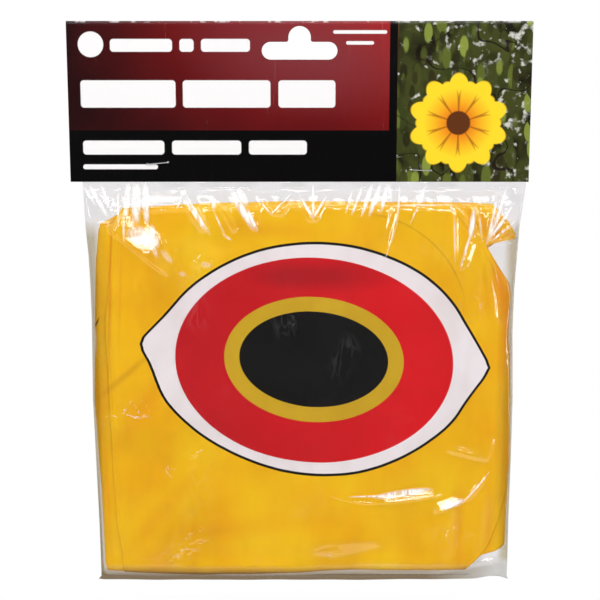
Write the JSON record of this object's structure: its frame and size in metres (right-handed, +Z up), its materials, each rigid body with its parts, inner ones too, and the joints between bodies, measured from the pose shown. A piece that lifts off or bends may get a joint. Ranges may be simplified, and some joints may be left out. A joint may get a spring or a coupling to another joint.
{
  "type": "packed bird scare balloon",
  "caption": "Folded vinyl scare balloon with printed eyes, in a clear film bag stapled under a folded header card with a euro slot.",
  "frame": {"origin": "top middle of the euro slot, where the peg bears, in the card's mid-plane", "axes": "+Z up as the pack hangs, -Y out of the printed front, +X to the right seen from the front"},
  "size_m": [0.1906, 0.0227, 0.2416],
  "materials": {
    "coated_board": "gloss coated print",
    "staple_wire": "drawn wire",
    "clear_film": "clear, crinkled",
    "yellow_vinyl": "satin, printed",
    "soft_vinyl": "moulded, milky"
  },
  "bodies": {
    "header": {"header_card": "coated_board", "staple_left": "staple_wire", "staple_right": "staple_wire", "bag_lip": "clear_film"},
    "pouch": {"bag_pouch": "clear_film", "gore_1": "yellow_vinyl", "gore_2": "yellow_vinyl", "gore_3": "yellow_vinyl", "gore_4": "yellow_vinyl", "gore_5": "yellow_vinyl", "gore_6": "yellow_vinyl", "top_cap": "yellow_vinyl", "hang_tab": "yellow_vinyl", "bottom_cap": "yellow_vinyl", "valve_stem": "soft_vinyl", "valve_flap": "soft_vinyl", "valve_tether": "soft_vinyl"},
    "plug": {"valve_plug": "soft_vinyl"}
  },
  "joints": [
    {"name": "pouch_swing", "type": "hinge", "parent": "header", "child": "pouch", "pos_m": [0, 0, -0.066], "axis": [1, 0, 0], "range_deg": [-130, 130]},
    {"name": "valve_plug_pull", "type": "slide", "parent": "pouch", "child": "plug", "axis": [0, 0, 1], "range_m": [0, 0.009], "deforming": ["valve_tether"]}
  ]
}
